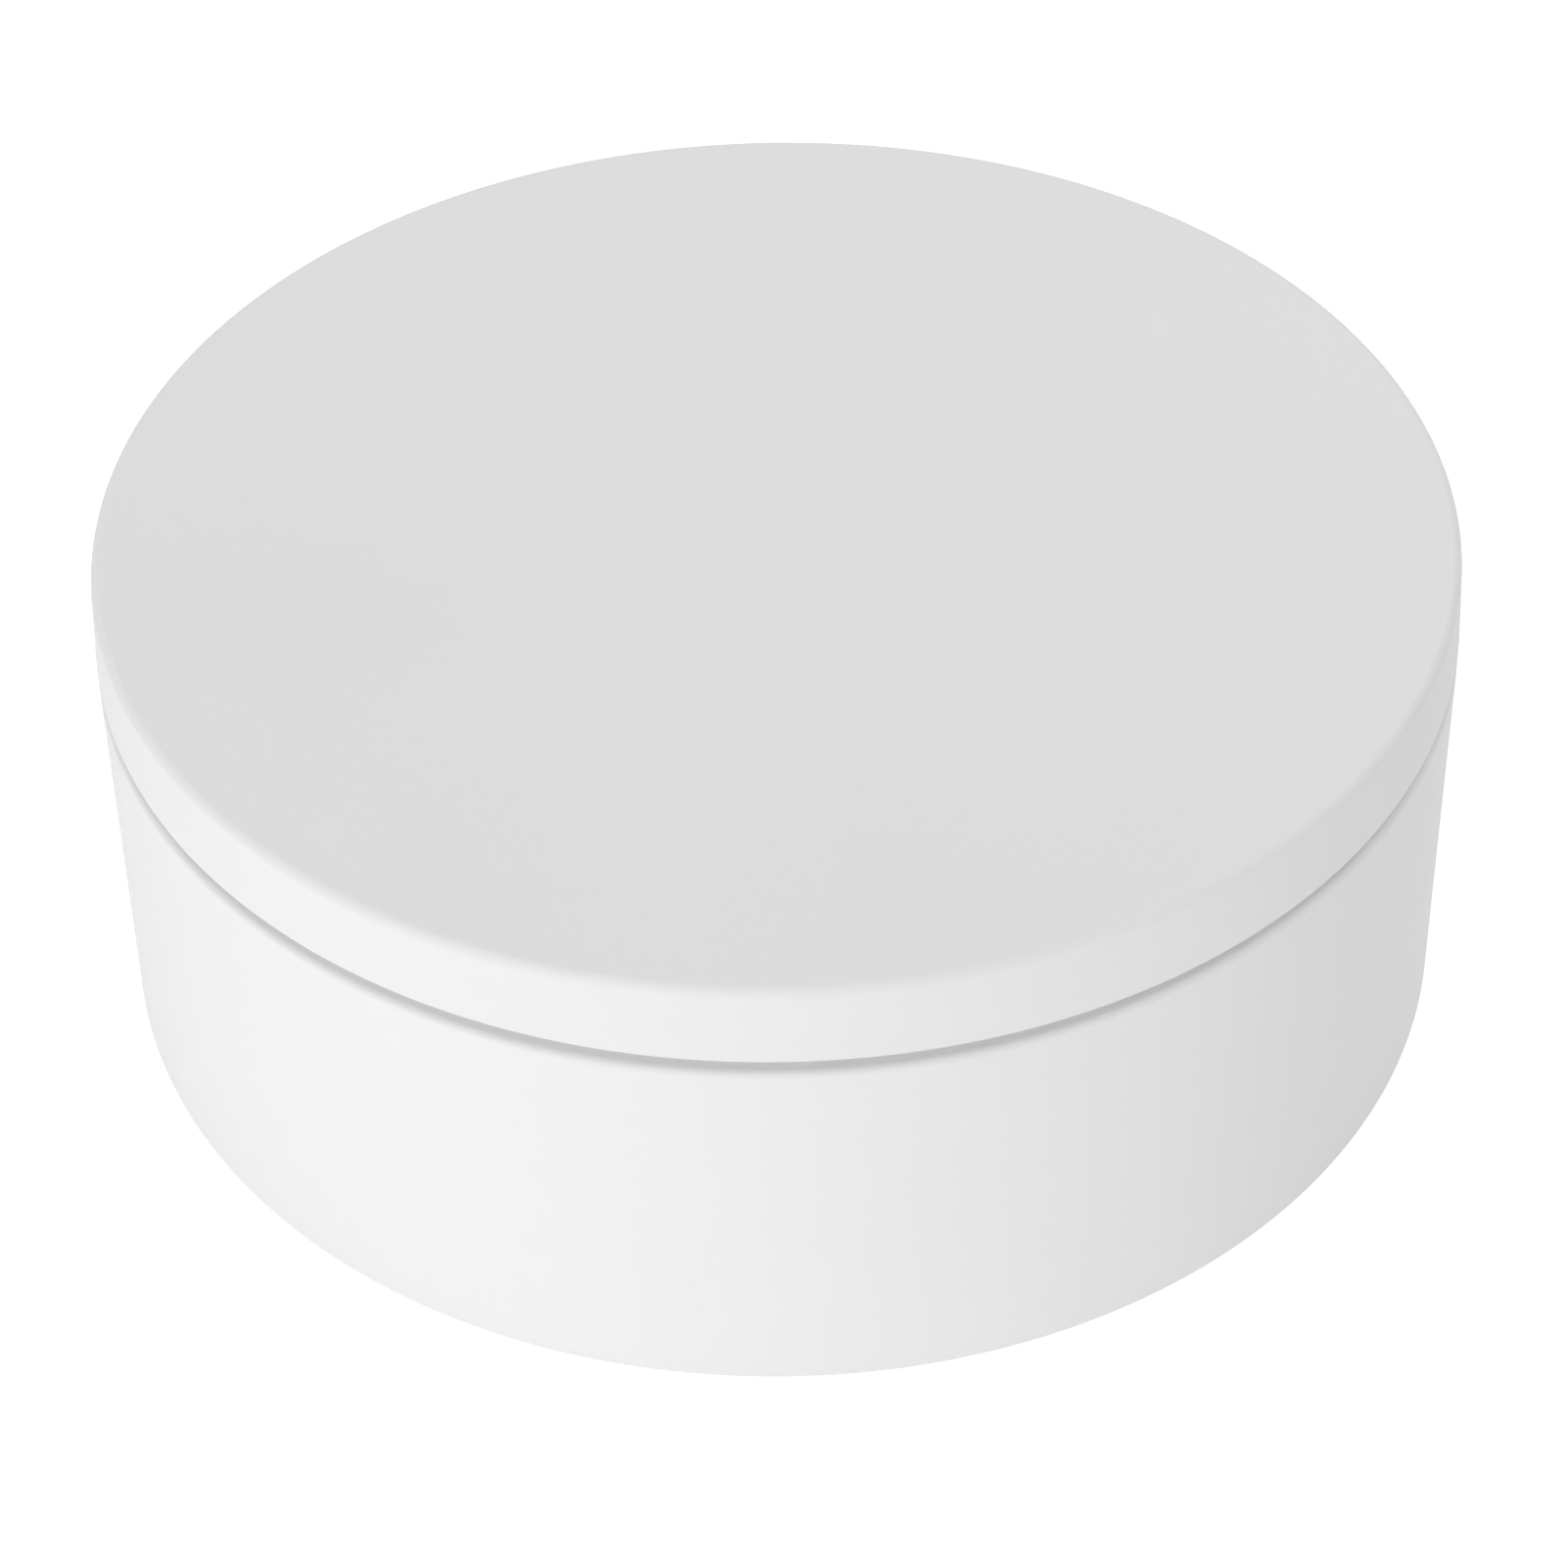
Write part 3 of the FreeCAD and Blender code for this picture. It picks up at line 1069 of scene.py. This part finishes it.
@dataclass
class WaterTray:
    """Tray that hangs on the tub's ribs and holds the water under the sponge."""

    plastic: MouldedPlastic
    floor_mm: float = 1.6
    wall_mm: float = 1.6
    flange_mm: float = 1.6
    outer_mm: float = 58.6
    flange_outer_mm: float = 61.5
    base_round_mm: float = 1.8
    corner_round_mm: float = 1.2
    edge_round_mm: float = 0.5
    under_round_mm: float = 0.15
    gate_radius_mm: float = 2.5
    gate_depth_mm: float = 0.3
    gate_round_mm: float = 0.1
    ridge_count: int = 12
    ridge_width_mm: float = 1.6
    ridge_height_mm: float = 0.8
    ridge_start_mm: float = 12.0
    ridge_end_mm: float = 52.0
    ridge_softening_mm: float = 0.3
    notch_count: int = 2
    notch_width_mm: float = 24.0
    notch_start_mm: float = 59.0

    def outline(self) -> list[Corner]:
        """Draw the turned pan, with the sunk mark of the moulding gate under its middle.

        Returns:
            Its outline.
        """
        low, high = box_mm("wet_tray")
        inner = self.outer_mm - self.wall_mm
        ribs = high.z - self.flange_mm
        return [
            Corner(0, low.z + self.gate_depth_mm),
            Corner(self.gate_radius_mm, low.z + self.gate_depth_mm, self.gate_round_mm),
            Corner(self.gate_radius_mm, low.z, self.gate_round_mm),
            Corner(self.outer_mm, low.z, self.base_round_mm),
            Corner(self.outer_mm, ribs),
            Corner(self.flange_outer_mm, ribs, self.under_round_mm),
            Corner(self.flange_outer_mm, high.z, self.edge_round_mm),
            Corner(inner, high.z, self.edge_round_mm),
            Corner(inner, low.z + self.floor_mm, self.corner_round_mm),
            Corner(0, low.z + self.floor_mm),
        ]

    def build(self) -> None:
        """Turn the pan, cut its lift notches and stand its drainage ridges on the floor."""
        grey = self.plastic.material()
        low, high = box_mm("wet_tray")
        tray = turned_piece("tray_pan", self.outline(), grey)
        side = self.notch_width_mm / 2
        beyond = self.flange_outer_mm + side
        gap = [(self.notch_start_mm, -side), (beyond, -side), (beyond, side), (self.notch_start_mm, side)]
        cut_with(tray, ring_of(prism("notch", gap, low.z, high.z + side), self.notch_count, 0, grey))
        floor = low.z + self.floor_mm
        bar = round_bar(self.ridge_start_mm, self.ridge_end_mm, self.ridge_width_mm)
        ridge = prism("ridge", bar, (low.z + floor) / 2, floor + self.ridge_height_mm, self.ridge_softening_mm)
        join_to(tray, ring_of(ridge, self.ridge_count, 0, grey))
        soften(tray)
        hand_over(tray, Body.TRAY, "wet_tray")


@dataclass
class SpongePads:
    """Sponge in use and spare sponge, die-cut from one sheet of foam."""

    foam: CelluloseSponge
    rounding_mm: float = 0.8
    clearance_mm: float = 0.02
    cells: int = 170
    side_rows: int = 8
    round_rows: int = 3
    large_spacing_mm: float = 5.0
    large_depth_mm: float = 1.5
    small_spacing_mm: float = 2.4
    small_depth_mm: float = 0.7
    raggedness_mm: float = 1.6
    fill: float = 0.9

    def build(self) -> None:
        """Make both pads in the space of their solids."""
        foam = self.foam.material()
        for seed, (node, body) in enumerate((("sponge", Body.WET_PAD), ("spare_sponge", Body.SPARE_PAD))):
            low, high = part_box(node)
            pad = disc_blank(f"{node}_pad", high.x, low.z + self.clearance_mm * MM, high.z,
                             self.rounding_mm * MM, self.cells, self.side_rows, self.round_rows)
            shape_with(pad, pore_tree(), {
                "Material": foam, "Large spacing": self.large_spacing_mm * MM,
                "Large depth": self.large_depth_mm * MM, "Small spacing": self.small_spacing_mm * MM,
                "Small depth": self.small_depth_mm * MM, "Raggedness": self.raggedness_mm * MM,
                "Seed": float(seed)})
            hand_over(pad, body, node)


@dataclass
class PaperSheets:
    """Sheet of palette paper in use, and the stack of spare sheets."""

    paper: PalettePaper
    thickness_mm: float = 0.12
    clearance_mm: float = 0.02
    cells: int = 60
    wet_ripple_mm: float = 0.5
    dry_ripple_mm: float = 0.1
    ripple_width_mm: float = 28.0
    spare_count: int = 8

    def lay(self, name: str, node: str, bottom: float, ripple_mm: float, seed: int, body: Body,
            finish: Material) -> None:
        """Cut one sheet and lay it down.

        Args:
            name: the piece's name.
            node: the solid that it stands for.
            bottom: height that it lies at.
            ripple_mm: most that it lifts.
            seed: which ripple it gets.
            body: the body that it rides on.
            finish: the paper.
        """
        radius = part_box(node)[1].x
        low = bottom + self.clearance_mm * MM
        sheet = disc_blank(name, radius, low, low + self.thickness_mm * MM, 0.0, self.cells, 1)
        shape_with(sheet, ripple_tree(), {
            "Material": finish, "Ripple width": self.ripple_width_mm * MM,
            "Ripple height": ripple_mm * MM, "Seed": float(seed)})
        hand_over(sheet, body, node)

    def build(self) -> None:
        """Lay the sheet in use on the sponge, and the spare sheets on the tub's floor."""
        finish = self.paper.material()
        low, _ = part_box("palette_membrane")
        self.lay("palette_sheet", "palette_membrane", low.z, self.wet_ripple_mm, 0, Body.PAPER,
                 finish)
        low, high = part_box("spare_membranes")
        pitch = (high.z - low.z) / self.spare_count
        for number in range(1, self.spare_count + 1):
            name = f"spare_sheet_{number}"
            self.lay(name, "spare_membranes", low.z + (number - 1) * pitch, self.dry_ripple_mm, number,
                     Body.SPARE_SHEETS, finish)


def direction(azimuth_deg: float, elevation_deg: float) -> Vector:
    """Way from the palette at an azimuth from the front, positive to the right, and a height above the floor."""
    side, rise = math.radians(azimuth_deg), math.radians(elevation_deg)
    return Vector((math.sin(side) * math.cos(rise), -math.cos(side) * math.cos(rise), math.sin(rise)))


@dataclass(frozen=True)
class Softbox:
    """Square soft light that faces the palette."""

    name: str
    azimuth_deg: float
    elevation_deg: float
    watts: float
    size_mm: float = 600.0
    distance_mm: float = 1000.0

    def hang(self) -> None:
        """Put the light in its place in the scene."""
        data = bpy.data.lights.new(self.name, "AREA")
        data.size = self.size_mm * MM
        data.energy = self.watts
        light = link_object(self.name, data)
        away = direction(self.azimuth_deg, self.elevation_deg)
        light.location = away * self.distance_mm * MM
        light.rotation_euler = away.to_track_quat("Z", "Y").to_euler()


@dataclass
class Studio:
    """Pale floor, soft light and a camera at the photograph's angle."""

    focal_px: float = 5541.0
    distance_mm: float = 535.2
    elevation_deg: float = 40.90
    roll_deg: float = -1.0
    aim_side_mm: float = 0.36
    aim_drop_mm: float = 32.43
    sensor_mm: float = 36.0
    floor_half_mm: float = 3000.0
    floor_colour: str = "F4F4F4"
    floor_glow: float = 0.22
    floor_lift: float = 0.55
    room_light: float = 0.35
    softboxes: tuple[Softbox, ...] = (
        Softbox("key_light", azimuth_deg=-30, elevation_deg=10, watts=4.35),
        Softbox("left_light", azimuth_deg=-90, elevation_deg=30, watts=0.45),
        Softbox("right_light", azimuth_deg=90, elevation_deg=60, watts=1.7),
        Softbox("back_light", azimuth_deg=180, elevation_deg=40, watts=1.7),
        Softbox("top_light", azimuth_deg=0, elevation_deg=90, watts=1.3),
    )

    def camera(self) -> None:
        """Set the camera from the photograph's fitted view of the lid's top."""
        data = bpy.data.cameras.new("photo_camera")
        data.sensor_width = self.sensor_mm
        data.lens = self.focal_px * self.sensor_mm / PHOTO_PX
        camera = link_object("photo_camera", data)
        aim = Vector((self.aim_side_mm * MM, 0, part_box("lid_cover")[1].z - self.aim_drop_mm * MM))
        back = direction(0, self.elevation_deg)
        camera.location = aim + back * self.distance_mm * MM
        turn = (-back).to_track_quat("-Z", "Y").to_matrix()
        camera.rotation_euler = (turn @ Matrix.Rotation(math.radians(self.roll_deg), 3, "Z")).to_euler()
        bpy.context.scene.camera = camera

    def seen_rays(self, tree: NodeTree) -> NodeSocket:
        """Tell the rays that show the background, from the camera, a gloss or a glass, from those that light.

        Args:
            tree: the tree of the floor or the world.

        Returns:
            One for rays that show it, else nought.
        """
        path = add_node(tree, "ShaderNodeLightPath").outputs
        either = calc(tree, "MAXIMUM", path["Is Camera Ray"], path["Is Glossy Ray"])
        return calc(tree, "MAXIMUM", either, path["Is Transmission Ray"])

    def floor(self) -> None:
        """Lay a white floor that keeps the object's shadow and is clear from below."""
        half = self.floor_half_mm * MM
        floor = add_object("floor", [(-half, -half, 0), (half, -half, 0), (half, half, 0), (-half, half, 0)],
                           [(0, 1, 2, 3)])
        material, tree = new_material("studio_paper")
        paper = add_node(tree, "ShaderNodeBsdfDiffuse", {"Color": linear(self.floor_colour)})
        lift = add_node(tree, "ShaderNodeMapRange", {"To Min": self.floor_glow, "To Max": self.floor_lift},
                        {"Value": self.seen_rays(tree)})
        glow = add_node(tree, "ShaderNodeEmission", links={"Strength": lift.outputs["Result"]})
        lit = add_node(tree, "ShaderNodeAddShader", links={0: paper.outputs[0], 1: glow.outputs[0]})
        side = add_node(tree, "ShaderNodeNewGeometry")
        clear = add_node(tree, "ShaderNodeBsdfTransparent")
        sided = add_node(tree, "ShaderNodeMixShader",
                         links={0: side.outputs["Backfacing"], 1: lit.outputs[0], 2: clear.outputs[0]})
        add_node(tree, "ShaderNodeOutputMaterial", links={"Surface": sided.outputs[0]})
        floor.data.materials.append(material)

    def world(self) -> None:
        """Fill the room with even light, and show white where the background is seen."""
        world = bpy.data.worlds.new("studio")
        bpy.context.scene.world = world
        world.use_nodes = True
        tree = world.node_tree
        tree.nodes.clear()
        strength = add_node(tree, "ShaderNodeMapRange", {"To Min": self.room_light, "To Max": 1.0},
                            {"Value": self.seen_rays(tree)})
        room = add_node(tree, "ShaderNodeBackground", {"Color": linear("FFFFFF")},
                        {"Strength": strength.outputs["Result"]})
        add_node(tree, "ShaderNodeOutputWorld", links={"Surface": room.outputs[0]})

    def build(self) -> None:
        """Set up the whole studio."""
        bpy.context.scene.view_settings.view_transform = "Standard"
        self.camera()
        self.floor()
        self.world()
        for softbox in self.softboxes:
            softbox.hang()


def corners(box: tuple[Vector, Vector]) -> list[list[float]]:
    """A box as two plain lists of numbers."""
    return [list(box[0]), list(box[1])]


def main() -> None:
    """Dress the frame, make the soft pieces and set up the studio."""
    logging.basicConfig(level=logging.INFO, format="%(name)s: %(message)s")
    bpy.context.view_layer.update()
    white = MouldedPlastic("white_polypropylene", "F3F3F3", "F0F0F0", roughness=0.7, grain_mm=0.6,
                           grain_depth_mm=0.01, sheen=0.15)
    grey = MouldedPlastic("grey_polypropylene", "D3D9DD", "CFD6DA", roughness=0.36, grain_mm=0.8,
                          grain_depth_mm=0.008)
    Tub(white, SiliconeRubber("grey_silicone", "B5B7B9", "BDBFC0")).build()
    Lid(white, SiliconeRubber("white_silicone", "EFEFED", "E9E9E6")).build()
    WaterTray(grey).build()
    # The sponge's third colour is painted shade, laid deeper into the pores
    SpongePads(CelluloseSponge("cellulose_foam", "E8CB7C", "F0DA9A", "9A7436")).build()
    PaperSheets(PalettePaper("greaseproof_paper", "F3EDDD", "EAE1CB")).build()
    Studio().build()


if __name__ == "__main__":
    main()
